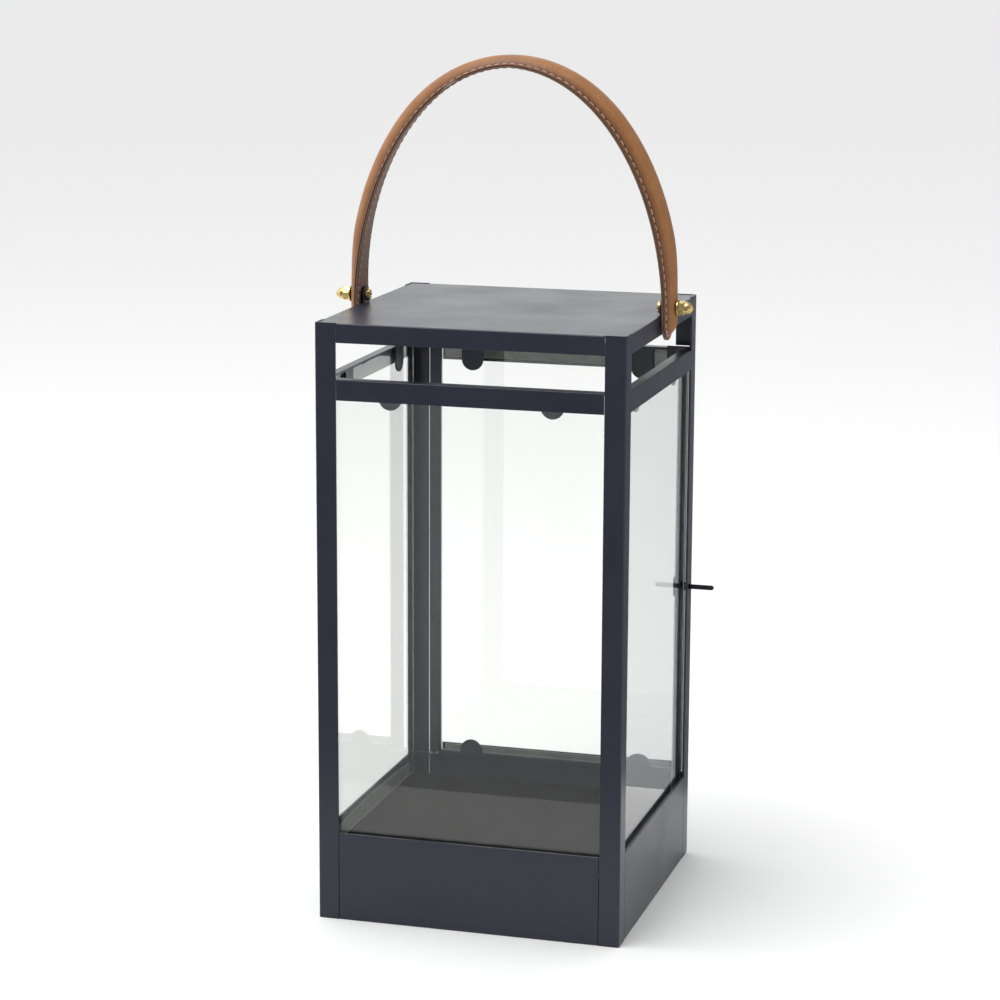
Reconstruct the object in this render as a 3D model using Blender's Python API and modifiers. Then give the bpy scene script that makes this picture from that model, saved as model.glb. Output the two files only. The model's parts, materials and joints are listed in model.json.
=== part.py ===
"""Candle lantern: a folded steel frame with glass sides, a rear door with a sliding bolt and a strap handle.

Metres, +Z up. The origin is on the surface the lantern stands on, under the middle of the body. The front
faces -Y, and the door fills the back. Run with: blender --background --python part.py
"""

import math

import bmesh
import bpy
from mathutils import Matrix, Vector

MM = 0.001

# Body
BODY_WIDTH = 170 * MM  # across the side faces
BODY_DEPTH = 168 * MM  # front face to back face
BODY_HEIGHT = 331 * MM  # up to the roof's top face
SHEET = 1.2 * MM  # thickness of every folded sheet
SEAM = 0.3 * MM  # left between pieces that touch

POST_LEG = 11.5 * MM  # width of each leg of a corner post
POST_PROUD = 0.3 * MM  # how far the posts stand above the roof
REAR_RETURN = 3.0 * MM  # what is left of the rear leg where the door closes

ROOF_BAND = 10.4 * MM  # height of the folded edge of the roof
VENT_HEIGHT = 19.6 * MM  # open slot under the roof
RAIL_HEIGHT = 11.3 * MM  # rails along the top of the glass
BASE_HEIGHT = 49.5 * MM  # panels around the base
BASE_FLANGE = 10.0 * MM  # rim that the lantern stands on
FLOOR_HEIGHT = 35.0 * MM  # top of the plate that the candle stands on
FLOOR_LIP = 10.0 * MM

# Glass
PANE = 2.0 * MM
PANE_SETBACK = 1.3 * MM  # from the sheet's inner face to the glass
PANE_FOOT = 38.0 * MM  # height of the lower edge of the fixed panes
TAPE = 0.8 * MM
TAPE_HEIGHT = 9.5 * MM
TAPE_END = 2.0 * MM  # the tape stops this far short of the sheet it is on
TAB_WIDTH = 13.0 * MM  # clips that hold the glass from inside
TAB_DROP = 16.0 * MM  # from the top of the rail to the tip of its clips
TAB_PLACE = 44.5 * MM  # clips, either side of the middle

# Door
DOOR_HINGE_GAP = 1.3 * MM  # between the door and the post it turns beside
DOOR_LATCH_GAP = 0.5 * MM  # between the door and the post it closes against
DOOR_END_GAP = 0.8 * MM  # under the door and over it
STILE_WIDTH = 7.0 * MM
STILE_DEPTH = 4.0 * MM
STILE_CORNER = 1.0 * MM
DOOR_TOP_RAIL = 13.8 * MM
DOOR_BOTTOM_RAIL = 5.3 * MM
DOOR_TAB = 1.0 * MM
DOOR_TAB_PLACE = 50.5 * MM
DOOR_TOP_DROP = 19.0 * MM
DOOR_BOTTOM_RISE = 9.4 * MM
DOOR_PANE_DEPTH = 2.7 * MM  # from the back face to the glass
DOOR_TAPE = 0.9 * MM

# Hinge, stop and bolt
PIN_DIAMETER = 2.0 * MM
PIN_HEAD = 3.6 * MM
PIN_HEAD_HEIGHT = 0.9 * MM
PIN_FOOT = 2.4 * MM  # riveted end of the lower pin, which clears the panel behind it
PIN_REACH = 5.0 * MM  # how far each pin goes into the stile
PIN_CLEARANCE = 0.25 * MM
HINGE_EDGE = 2.4 * MM  # from the edge of the stile to the pin's axis
HINGE_DEPTH = 2.6 * MM  # from the back face to the pin's axis
BRACKET_DEPTH = 5.0 * MM
BRACKET_LEG = 11.0 * MM
BRACKET_END = 3.0 * MM  # bracket past the pin's axis
STOP_HEIGHT = 10.0 * MM
STOP_LENGTH = 13.5 * MM
BOLT_DIAMETER = 2.8 * MM
BOLT_HEIGHT = 162.5 * MM
BOLT_OUT = 14.5 * MM  # stands out of the side face when it is drawn
BOLT_CLEARANCE = 0.3 * MM
BOLT_SHORT = 0.4 * MM  # the drawn bolt ends this far from its keeper
BUSH_DIAMETER = 4.6 * MM
BUSH_LENGTH = 1.6 * MM
KEEPER_HEIGHT = 11.0 * MM
KEEPER_WALL = 2.0 * MM

# Handle
STRAP_WIDTH = 21.0 * MM
STRAP_RISE = 127.0 * MM  # from the pivots to the inside of the arch
STRAP_TAIL = 17.8 * MM  # below the pivots
STRAP_CLEARANCE = 1.2 * MM  # from the side face to the strap
LINING = 1.0 * MM
LINING_SEAM = 0.2 * MM
COVER = 6.8 * MM  # at the crown, before it is pressed
COVER_EDGE = 0.9 * MM
STRAP_PRESSED = 6.3 * MM  # whole thickness under the washers
STRAP_ARM = 7.8 * MM  # whole thickness halfway up
STRAP_TOP = 6.4 * MM  # whole thickness over the hand
PIVOT_HEIGHT = 4.2 * MM  # above the roof
EAR_WIDTH = 9.6 * MM
SHANK_DIAMETER = 4.0 * MM
SHANK_CLEARANCE = 0.25 * MM
SCREW_HEAD = 6.6 * MM
SCREW_HEAD_HEIGHT = 1.8 * MM
SCREW_SLOT = 0.9 * MM
WASHER_DIAMETER = 9.0 * MM
WASHER = 0.8 * MM
FACE_GAP = 0.2 * MM  # between stacked faces on a pivot
NUT_FLATS = 7.0 * MM
NUT_LENGTH = 8.0 * MM
NUT_HEX = 3.2 * MM
NUT_WALL = 1.6 * MM  # metal over the end of the thread
NUT_DOME = 6.5 * MM

ARM_START = 0.22  # of the climb from a pivot to the top, where the arms are full
ARM_END = 0.6  # and where they start to thin again

ARCH_STEPS = 44
ROUND_STEPS = 24
SMALL_STEPS = 16

# Worked out from the sizes above
HALF_W = BODY_WIDTH / 2
HALF_D = BODY_DEPTH / 2
POST_TOP = BODY_HEIGHT + POST_PROUD
RAIL_TOP = BODY_HEIGHT - ROOF_BAND - VENT_HEIGHT
PANE_IN = SHEET + PANE_SETBACK  # from an outer face to the glass
CLIP_IN = PANE_IN + PANE + SEAM  # from an outer face to the clips
RAIL_FLANGE = CLIP_IN + SHEET
PIVOT_Z = BODY_HEIGHT + PIVOT_HEIGHT
STRAP_IN = HALF_W + STRAP_CLEARANCE
STRAP_OUT = STRAP_IN + STRAP_PRESSED
DOOR_FLANGE = DOOR_PANE_DEPTH + PANE + SEAM + DOOR_TAB  # from the back face to the inner face of the clips
DOOR_LEFT = -HALF_W + POST_LEG + DOOR_HINGE_GAP
DOOR_RIGHT = HALF_W - REAR_RETURN - DOOR_LATCH_GAP
DOOR_LOW = BASE_HEIGHT + DOOR_END_GAP
HINGE_X = DOOR_LEFT + HINGE_EDGE
HINGE_Y = HALF_D - HINGE_DEPTH
BOLT_Y = HALF_D - DOOR_PANE_DEPTH - PANE - SEAM - BOLT_DIAMETER / 2  # slides just inside the door's glass
PANE_REAR_MARGIN = HALF_D - BOLT_Y + BUSH_DIAMETER / 2 + SEAM  # the side panes stop short of the bolt's bush
KEEPER_X = DOOR_RIGHT - STILE_WIDTH  # inner face of the keeper, level with the edge of its stile

WALLS = {"front": 0, "right": 90, "rear": 180, "left": -90}

for old in list(bpy.data.objects):
    bpy.data.objects.remove(old, do_unlink=True)


def new_collection(name):
    made = bpy.data.collections.new(name)
    bpy.context.scene.collection.children.link(made)
    return made


parts = new_collection("candle_lantern")
cutters = new_collection("cutters")
cutters.hide_render = True


def new_material(name, colour, roughness, metallic=0.0, transmission=0.0):
    made = bpy.data.materials.new(name)
    made.use_nodes = True
    shader = made.node_tree.nodes["Principled BSDF"]
    shader.inputs["Base Color"].default_value = (*colour, 1)
    shader.inputs["Roughness"].default_value = roughness
    shader.inputs["Metallic"].default_value = metallic
    shader.inputs["Transmission Weight"].default_value = transmission
    made.diffuse_color = (*colour, 1)
    return made


steel = new_material("powder_coated_steel", (0.045, 0.05, 0.065), 0.38, 0.3)
floor_steel = new_material("matt_coated_steel", (0.03, 0.028, 0.027), 0.7)
glass = new_material("float_glass", (0.9, 0.95, 0.93), 0.02, 0.0, 1.0)
foam_tape = new_material("foam_tape", (0.25, 0.29, 0.25), 0.8)
leather = new_material("tan_leather", (0.32, 0.16, 0.07), 0.5)
lining_leather = new_material("lining_leather", (0.14, 0.09, 0.06), 0.7)
brass = new_material("brass", (0.6, 0.42, 0.13), 0.25, 1.0)
dark_steel = new_material("blackened_steel", (0.025, 0.023, 0.03), 0.35, 0.8)


def mesh_object(name, mesh, matrix=None):
    made = bpy.data.objects.new(name, mesh)
    made.matrix_world = matrix or Matrix()
    return made


def block(name, low, high):
    """A box between two corners."""
    size = [b - a for a, b in zip(low, high)]
    middle = [(a + b) / 2 for a, b in zip(low, high)]
    shape = bmesh.new()
    bmesh.ops.create_cube(shape, size=1, matrix=Matrix.Translation(middle) @ Matrix.Diagonal((*size, 1)))
    mesh = bpy.data.meshes.new(name)
    shape.to_mesh(mesh)
    shape.free()
    return mesh_object(name, mesh)


def from_curve(name, data, matrix):
    """The mesh of a curve, with its caps welded on."""
    curve = bpy.data.objects.new(name + "_curve", data)
    cutters.objects.link(curve)
    curve.matrix_world = matrix
    bpy.context.view_layer.update()
    mesh = bpy.data.meshes.new_from_object(curve.evaluated_get(bpy.context.evaluated_depsgraph_get()))
    mesh.name = name
    shape = bmesh.new()
    shape.from_mesh(mesh)
    bmesh.ops.remove_doubles(shape, verts=shape.verts, dist=0.01 * MM)
    bmesh.ops.recalc_face_normals(shape, faces=shape.faces)
    shape.to_mesh(mesh)
    shape.free()
    bpy.data.objects.remove(curve, do_unlink=True)
    return mesh_object(name, mesh, matrix)


def poly_curve(name, points, closed):
    data = bpy.data.curves.new(name, "CURVE")
    data.dimensions = "2D"
    spline = data.splines.new("POLY")
    spline.points.add(len(points) - 1)
    for point, place in zip(spline.points, points):
        point.co = (*place, 0, 1)
    spline.use_cyclic_u = closed
    return data


def prism(name, outline, axis, start, end):
    """A flat outline pushed along an axis. It is drawn in (y, z), (x, z) or (x, y) for X, Y or Z."""
    data = poly_curve(name, outline, True)
    data.fill_mode = "BOTH"
    data.extrude = abs(end - start) / 2
    columns = {"X": ((0, 1, 0), (0, 0, 1), (1, 0, 0)), "Y": ((1, 0, 0), (0, 0, 1), (0, -1, 0))}
    turn = Matrix(columns[axis]).transposed().to_4x4() if axis in columns else Matrix()
    along = Vector([float(axis == letter) for letter in "XYZ"])
    return from_curve(name, data, Matrix.Translation(along * (start + end) / 2) @ turn)


def arc(centre, radius, first, last, steps):
    """Points on an arc, in degrees."""
    angles = [math.radians(first + (last - first) * i / steps) for i in range(steps + 1)]
    return [(centre[0] + radius * math.cos(a), centre[1] + radius * math.sin(a)) for a in angles]


def rod(name, radius, axis, place, start, end, steps=SMALL_STEPS):
    """A plain cylinder along an axis, through a place."""
    turns = {"X": Matrix.Rotation(math.radians(90), 4, "Y"), "Y": Matrix.Rotation(math.radians(-90), 4, "X")}
    shape = bmesh.new()
    bmesh.ops.create_cone(
        shape, cap_ends=True, segments=steps, radius1=radius, radius2=radius, depth=end - start
    )
    mesh = bpy.data.meshes.new(name)
    shape.to_mesh(mesh)
    shape.free()
    centre = Vector(place)
    centre["XYZ".index(axis)] = (start + end) / 2
    return mesh_object(name, mesh, Matrix.Translation(centre) @ turns.get(axis, Matrix()))


def turned(name, profile, matrix, steps=ROUND_STEPS, closed=False):
    """A profile of (radius, height) points, top to bottom on the outer side, turned about +Z."""
    mesh = bpy.data.meshes.new(name)
    edges = [(i, i + 1) for i in range(len(profile) - 1)]
    if closed:
        edges.append((len(profile) - 1, 0))
    mesh.from_pydata([(radius, 0, height) for radius, height in profile], edges, [])
    made = mesh_object(name, mesh, matrix)
    screw = made.modifiers.new("turn", "SCREW")
    screw.steps = steps
    screw.render_steps = steps
    screw.use_merge_vertices = True
    screw.merge_threshold = 0.01 * MM
    screw.use_smooth_shade = False
    return made


def combine(target, tool, operation):
    """Cuts, joins or keeps with a helper, which moves to the cutters."""
    tool.name = target.name + "_" + operation.lower()
    cutters.objects.link(tool)
    tool.hide_render = True
    tool.display_type = "WIRE"
    boolean = target.modifiers.new(operation.lower(), "BOOLEAN")
    boolean.operation = operation
    boolean.solver = "EXACT"
    boolean.object = tool
    return target


def cut(target, *tools):
    for tool in tools:
        combine(target, tool, "DIFFERENCE")
    return target


def join(target, *tools):
    for tool in tools:
        combine(target, tool, "UNION")
    return target


def finish(made, finish_material, turn=0, parent=None):
    """Puts a piece among the parts, turned about the body's middle, or under its joint's empty."""
    parts.objects.link(made)
    made.data.materials.clear()
    made.data.materials.append(finish_material)
    if turn:
        spin = Matrix.Rotation(math.radians(turn), 4, "Z")
        made.matrix_world = spin @ made.matrix_world
        for modifier in made.modifiers:
            if modifier.type == "BOOLEAN":
                modifier.object.matrix_world = spin @ modifier.object.matrix_world
    if parent:
        made.parent = parent
        made.matrix_parent_inverse = Matrix.Translation(-parent.location)
    return made


def pivot(name, place):
    made = bpy.data.objects.new(name, None)
    parts.objects.link(made)
    made.location = place
    made.empty_display_size = 10 * MM
    return made


def wall_sizes(wall):
    """Half the length of a wall, and its distance from the middle."""
    return (HALF_W, HALF_D) if wall in ("front", "rear") else (HALF_D, HALF_W)


def clip(name, centre, width, fixed, tip, near, far):
    """A round-ended clip, from its fixed height to its tip, between two depths."""
    radius = width / 2
    towards = 1 if tip > fixed else -1
    outline = [(centre + radius, fixed)]
    outline += arc((centre, tip - towards * radius), radius, 0, towards * 180, 10)
    outline += [(centre - radius, fixed)]
    return prism(name, outline, "Y", near, far)


def post_outline(sign_x, sign_y, rear_leg=POST_LEG, grow=0.0, out=0.0):
    """The L of a corner post. It grows on its inner faces and ends, and reaches out on its outer faces."""
    thick = SHEET + grow
    side_leg = POST_LEG + grow
    corner = Vector((sign_x * (HALF_W + out), sign_y * (HALF_D + out)))
    steps = [
        (0, 0),
        (rear_leg + grow + out, 0),
        (rear_leg + grow + out, thick + out),
        (thick + out, thick + out),
        (thick + out, side_leg + out),
        (0, side_leg + out),
    ]
    return [(corner.x - sign_x * along, corner.y - sign_y * across) for along, across in steps]


def make_posts():
    for name, sign_x, sign_y in (
        ("post_front_left", -1, -1),
        ("post_front_right", 1, -1),
        ("post_rear_left", -1, 1),
        ("post_rear_right", 1, 1),
    ):
        post = prism(name, post_outline(sign_x, sign_y), "Z", 0, POST_TOP)
        if name == "post_rear_right":
            low = (HALF_W - 2 * POST_LEG, HALF_D - 2 * SHEET, BASE_HEIGHT)
            high = (HALF_W - REAR_RETURN, HALF_D + SHEET, RAIL_TOP + DOOR_END_GAP)
            cut(post, block("door_way", low, high))
            hole = BOLT_DIAMETER / 2 + BOLT_CLEARANCE
            cut(post, rod("bolt_way", hole, "X", (0, BOLT_Y, BOLT_HEIGHT), HALF_W - 3 * SHEET, HALF_W + SHEET))
        finish(post, steel)


def make_base_panel(wall):
    half, out = wall_sizes(wall)
    end = half - POST_LEG - SEAM
    outline = [
        (-out, 0),
        (-out + BASE_FLANGE, 0),
        (-out + BASE_FLANGE, SHEET),
        (-out + SHEET, SHEET),
        (-out + SHEET, BASE_HEIGHT),
        (-out, BASE_HEIGHT),
    ]
    finish(prism("base_panel_" + wall, outline, "X", -end, end), steel, WALLS[wall])


def make_glass_rail(wall):
    half, out = wall_sizes(wall)
    end = half - POST_LEG - SEAM
    outline = [
        (-out, RAIL_TOP - RAIL_HEIGHT),
        (-out + SHEET, RAIL_TOP - RAIL_HEIGHT),
        (-out + SHEET, RAIL_TOP - SHEET),
        (-out + RAIL_FLANGE, RAIL_TOP - SHEET),
        (-out + RAIL_FLANGE, RAIL_TOP),
        (-out, RAIL_TOP),
    ]
    rail = prism("glass_rail_" + wall, outline, "X", -end, end)
    for side in (-1, 1):
        inner = -out + RAIL_FLANGE
        fixed = RAIL_TOP - SHEET / 2
        tip = RAIL_TOP - TAB_DROP
        join(rail, clip("clip", side * TAB_PLACE, TAB_WIDTH, fixed, tip, inner - SHEET, inner))
    finish(rail, steel, WALLS[wall])


def make_pane(wall):
    half, out = wall_sizes(wall)
    low, high = -half + CLIP_IN, half - CLIP_IN
    if wall != "front":
        low = -half + CLIP_IN + SEAM
        high = half - PANE_REAR_MARGIN
    if wall == "left":
        low, high = -high, -low
    near = -out + PANE_IN
    top = RAIL_TOP - SHEET - SEAM
    pane = block("glass_" + wall, (low, near, PANE_FOOT), (high, near + PANE, top))
    finish(pane, glass, WALLS[wall])


def make_tape(wall):
    half, out = wall_sizes(wall)
    end = half - POST_LEG - SEAM - TAPE_END
    near = -out + SHEET + (PANE_SETBACK - TAPE) / 2
    foot = PANE_FOOT - SEAM
    tape = block("glass_tape_" + wall, (-end, near, foot), (end, near + TAPE, foot + TAPE_HEIGHT))
    finish(tape, foam_tape, WALLS[wall])


def make_floor_plate():
    x = HALF_W - SHEET - SEAM
    y = HALF_D - SHEET - SEAM
    plate = block("floor_plate", (-x, -y, FLOOR_HEIGHT - FLOOR_LIP), (x, y, FLOOR_HEIGHT))
    inside = block(
        "inside",
        (-x + SHEET, -y + SHEET, FLOOR_HEIGHT - 2 * FLOOR_LIP),
        (x - SHEET, y - SHEET, FLOOR_HEIGHT - SHEET),
    )
    finish(cut(plate, inside), floor_steel)


def make_roof():
    roof = block("roof_cap", (-HALF_W, -HALF_D, BODY_HEIGHT - ROOF_BAND), (HALF_W, HALF_D, BODY_HEIGHT))
    inside = block(
        "inside",
        (-HALF_W + SHEET, -HALF_D + SHEET, BODY_HEIGHT - 2 * ROOF_BAND),
        (HALF_W - SHEET, HALF_D - SHEET, BODY_HEIGHT - SHEET),
    )
    cut(roof, inside)
    for sign_x in (-1, 1):
        for sign_y in (-1, 1):
            outline = post_outline(sign_x, sign_y, grow=SEAM, out=SHEET)
            cut(roof, prism("post_way", outline, "Z", BODY_HEIGHT - 2 * ROOF_BAND, BODY_HEIGHT + ROOF_BAND))
    for side in (-1, 1):
        outline = [(EAR_WIDTH / 2, BODY_HEIGHT - ROOF_BAND / 2)]
        outline += arc((0, PIVOT_Z), EAR_WIDTH / 2, 0, 180, 12)
        outline += [(-EAR_WIDTH / 2, BODY_HEIGHT - ROOF_BAND / 2)]
        inner, outer = sorted((side * (HALF_W - SHEET), side * HALF_W))
        join(roof, prism("ear", outline, "X", inner, outer))
        hole = SHANK_DIAMETER / 2 + SHANK_CLEARANCE
        cut(roof, rod("ear_hole", hole, "X", (0, 0, PIVOT_Z), inner - SHEET, outer + SHEET))
    finish(roof, steel)


def make_door(hinge):
    left, right = DOOR_LEFT, DOOR_RIGHT
    back = HALF_D
    hole = PIN_DIAMETER / 2 + PIN_CLEARANCE
    for name, low_x in (("door_hinge_stile", left), ("door_latch_stile", right - STILE_WIDTH)):
        outline = [
            (low_x, back - STILE_DEPTH),
            (low_x + STILE_WIDTH, back - STILE_DEPTH),
            (low_x + STILE_WIDTH, back - STILE_CORNER),
            (low_x + STILE_WIDTH - STILE_CORNER, back),
            (low_x + STILE_CORNER, back),
            (low_x, back - STILE_CORNER),
        ]
        stile = prism(name, outline, "Z", DOOR_LOW, RAIL_TOP)
        if name == "door_hinge_stile":
            depth = PIN_REACH + 2 * SEAM
            for low, high in ((DOOR_LOW - SHEET, DOOR_LOW + depth), (RAIL_TOP - depth, RAIL_TOP + SHEET)):
                cut(stile, rod("pin_hole", hole, "Z", (HINGE_X, HINGE_Y, 0), low, high))
        finish(stile, steel, parent=hinge)

    start = left + STILE_WIDTH + SEAM
    end = right - STILE_WIDTH - SEAM
    middle = (start + end) / 2
    inner = back - DOOR_FLANGE
    top_outline = [
        (back, RAIL_TOP - DOOR_TOP_RAIL),
        (back, RAIL_TOP),
        (inner, RAIL_TOP),
        (inner, RAIL_TOP - SHEET),
        (back - SHEET, RAIL_TOP - SHEET),
        (back - SHEET, RAIL_TOP - DOOR_TOP_RAIL),
    ]
    bottom_outline = [
        (back, DOOR_LOW),
        (back, DOOR_LOW + DOOR_BOTTOM_RAIL),
        (back - SHEET, DOOR_LOW + DOOR_BOTTOM_RAIL),
        (back - SHEET, DOOR_LOW + SHEET),
        (inner, DOOR_LOW + SHEET),
        (inner, DOOR_LOW),
    ]
    for name, outline, fixed, tip in (
        ("door_top_rail", top_outline, RAIL_TOP - SHEET / 2, RAIL_TOP - DOOR_TOP_DROP),
        ("door_bottom_rail", bottom_outline, DOOR_LOW + SHEET / 2, DOOR_LOW + DOOR_BOTTOM_RISE),
    ):
        rail = prism(name, outline, "X", start, end)
        for side in (-1, 1):
            place = middle + side * DOOR_TAB_PLACE
            join(rail, clip("clip", place, TAB_WIDTH, fixed, tip, inner, inner + DOOR_TAB))
        finish(rail, steel, parent=hinge)

    pane_back = back - DOOR_PANE_DEPTH
    low = DOOR_LOW + SHEET + SEAM
    high = RAIL_TOP - SHEET - SEAM
    pane = block("door_glass", (start, pane_back - PANE, low), (end, pane_back, high))
    finish(pane, glass, parent=hinge)
    tape_back = (back - SHEET + pane_back + DOOR_TAPE) / 2
    for name, foot, top in (
        ("door_top_tape", RAIL_TOP - DOOR_TOP_RAIL + TAPE_END, high - TAPE_END),
        ("door_bottom_tape", low, DOOR_LOW + DOOR_BOTTOM_RAIL - SEAM),
    ):
        low_corner = (start + TAPE_END, tape_back - DOOR_TAPE, foot)
        tape = block(name, low_corner, (end - TAPE_END, tape_back, top))
        finish(tape, foam_tape, parent=hinge)

    notch = BOLT_DIAMETER / 2 + BOLT_CLEARANCE
    face = back - STILE_DEPTH - SEAM
    y_in = BOLT_Y - notch - KEEPER_WALL
    z_low = BOLT_HEIGHT - KEEPER_HEIGHT / 2
    z_high = BOLT_HEIGHT + KEEPER_HEIGHT / 2
    outline = [(face, BOLT_HEIGHT + notch), (face, z_high), (y_in, z_high), (y_in, z_low), (face, z_low)]
    outline += [(face, BOLT_HEIGHT - notch)]
    outline += arc((BOLT_Y, BOLT_HEIGHT), notch, -90, -270, 8)
    finish(prism("latch_keeper", outline, "X", KEEPER_X, KEEPER_X + SHEET), steel, parent=hinge)


def make_hinge_brackets():
    side = -HALF_W + SHEET + SEAM
    back = HALF_D - SHEET - SEAM
    front = back - BRACKET_DEPTH
    end = HINGE_X + BRACKET_END
    hole = PIN_DIAMETER / 2 + PIN_CLEARANCE
    for name, plate, leg in (
        ("top", RAIL_TOP + DOOR_END_GAP, BRACKET_LEG),
        ("bottom", BASE_HEIGHT - SEAM - SHEET, -BRACKET_LEG),
    ):
        near, far = (plate, plate + SHEET) if leg > 0 else (plate + SHEET, plate)
        outline = [(side, near), (end, near), (end, far), (side + SHEET, far)]
        outline += [(side + SHEET, near + leg), (side, near + leg)]
        bracket = prism("hinge_bracket_" + name, outline, "Y", front, back)
        cut(bracket, rod("hole", hole, "Z", (HINGE_X, HINGE_Y, 0), plate - SHEET, plate + 2 * SHEET))
        finish(bracket, steel)
        radius = PIN_DIAMETER / 2
        head = PIN_HEAD / 2
        if leg > 0:
            under = plate + SHEET + FACE_GAP
            tip = RAIL_TOP - PIN_REACH
            profile = [(0, under + PIN_HEAD_HEIGHT), (head, under + PIN_HEAD_HEIGHT), (head, under)]
            profile += [(radius, under), (radius, tip), (0, tip)]
        else:
            under = plate - FACE_GAP
            tip = DOOR_LOW + PIN_REACH
            foot = PIN_FOOT / 2
            profile = [(0, tip), (radius, tip), (radius, under), (foot, under)]
            profile += [(foot, under - PIN_HEAD_HEIGHT), (0, under - PIN_HEAD_HEIGHT)]
        place = Matrix.Translation((HINGE_X, HINGE_Y, 0))
        finish(turned("hinge_pin_" + name, profile, place, SMALL_STEPS), dark_steel)


def make_door_stop():
    face = HALF_W - SHEET - SEAM
    back = HALF_D - DOOR_FLANGE - SEAM
    outline = [
        (face, back - SHEET),
        (face, back + BRACKET_DEPTH / 2),
        (face - SHEET, back + BRACKET_DEPTH / 2),
        (face - SHEET, back),
        (face - STOP_LENGTH, back),
        (face - STOP_LENGTH, back - SHEET),
    ]
    finish(prism("door_stop", outline, "Z", RAIL_TOP + SHEET - STOP_HEIGHT, RAIL_TOP + SHEET), steel)


def make_bolt(slide):
    radius = BOLT_DIAMETER / 2
    start = KEEPER_X + SHEET + BOLT_SHORT
    length = HALF_W + BOLT_OUT - start
    dome = [(radius * math.sin(a), radius * math.cos(a)) for a in (math.radians(18 * i) for i in range(6))]
    profile = [(r, length - radius + h) for r, h in dome]
    profile += [(radius, radius / 2), (radius / 2, 0), (0, 0)]
    turn = Matrix.Rotation(math.radians(90), 4, "Y")
    along = Matrix.Translation((start, BOLT_Y, BOLT_HEIGHT)) @ turn
    finish(turned("latch_bolt", profile, along, SMALL_STEPS), dark_steel, parent=slide)
    inner = radius + BOLT_CLEARANCE
    outer = BUSH_DIAMETER / 2
    ring = [(outer, BUSH_LENGTH), (outer, 0), (inner, 0), (inner, BUSH_LENGTH)]
    place = Matrix.Translation((HALF_W - SHEET - SEAM - BUSH_LENGTH, BOLT_Y, BOLT_HEIGHT)) @ turn
    finish(turned("latch_bush", ring, place, SMALL_STEPS, closed=True), dark_steel)


def arch_point(turn, offset):
    """A point of the handle's line at an angle, moved out from the strap's inner face."""
    a = math.radians(turn)
    x, z = STRAP_IN * math.cos(a), STRAP_RISE * math.sin(a)
    normal = Vector((math.cos(a) / STRAP_IN, math.sin(a) / STRAP_RISE)).normalized()
    return (x + offset * normal.x, PIVOT_Z + z + offset * normal.y)


def arch_line(offset):
    """The whole line of the handle from its right tail over the arch to its left tail."""
    tail = PIVOT_Z - STRAP_TAIL
    line = [arch_point(180 * i / ARCH_STEPS, offset) for i in range(ARCH_STEPS + 1)]
    return [(line[0][0], tail)] + line + [(line[-1][0], tail)]


def strap_thickness(turn):
    """The whole thickness of the strap: pressed thin at the washers, full on the arms, thinner at the top."""
    climb = min(turn, 180 - turn) / 90
    if climb < ARM_START:
        return STRAP_PRESSED + (STRAP_ARM - STRAP_PRESSED) * climb / ARM_START
    if climb > ARM_END:
        return STRAP_ARM + (STRAP_TOP - STRAP_ARM) * (climb - ARM_END) / (1 - ARM_END)
    return STRAP_ARM


def press_crown(cover):
    """Keeps what is inside the strap's outer line."""
    tail = PIVOT_Z - STRAP_TAIL - STRAP_WIDTH
    turns = [180 * i / ARCH_STEPS for i in range(ARCH_STEPS + 1)]
    outline = [arch_point(turn, strap_thickness(turn)) for turn in turns]
    outline = [(outline[0][0], tail)] + outline + [(outline[-1][0], tail)]
    return combine(cover, prism("press", outline, "Y", -STRAP_WIDTH, STRAP_WIDTH), "INTERSECT")


def round_tails(strap):
    """Keeps what is inside a tall outline with a round lower end, and drills the pivot."""
    radius = STRAP_WIDTH / 2
    wide = STRAP_WIDTH
    top = PIVOT_Z + STRAP_RISE + 2 * STRAP_TAIL
    centre = PIVOT_Z - STRAP_TAIL + radius
    outline = [(wide, top), (-wide, top), (-wide, centre + radius / 2)]
    outline += [(-radius - SEAM, centre + radius / 2)]
    outline += [(-radius - SEAM, centre)] + arc((0, centre), radius, 180, 360, 14)
    outline += [(radius + SEAM, centre), (radius + SEAM, centre + radius / 2), (wide, centre + radius / 2)]
    reach = STRAP_IN + STRAP_TAIL
    combine(strap, prism("keep", outline, "X", -reach, reach), "INTERSECT")
    hole = SHANK_DIAMETER / 2 + SHANK_CLEARANCE
    cut(strap, rod("pivot_hole", hole, "X", (0, 0, PIVOT_Z), -reach, reach))
    return strap


def make_handle(swing):
    half = STRAP_WIDTH / 2
    outline = arch_line(LINING) + arch_line(0)[::-1]
    lining = prism("handle_lining", outline, "Y", -half, half)
    finish(round_tails(lining), lining_leather, parent=swing)

    section = [(0, -half), (0, half)]
    for i in range(9):
        across = half * (1 - i / 4)
        rise = COVER_EDGE + (COVER - COVER_EDGE) * math.cos(math.pi / 2 * across / half)
        section.append((rise, across))
    profile = bpy.data.objects.new("section", poly_curve("section", section, True))
    cutters.objects.link(profile)
    path = poly_curve("path", arch_line(LINING + LINING_SEAM), False)
    path.bevel_mode = "OBJECT"
    path.bevel_object = profile
    path.use_fill_caps = True
    upright = Matrix(((1, 0, 0, 0), (0, 0, -1, 0), (0, 1, 0, 0), (0, 0, 0, 1)))
    cover = from_curve("handle_cover", path, upright)
    bpy.data.objects.remove(profile, do_unlink=True)
    finish(round_tails(press_crown(cover)), leather, parent=swing)


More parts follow.
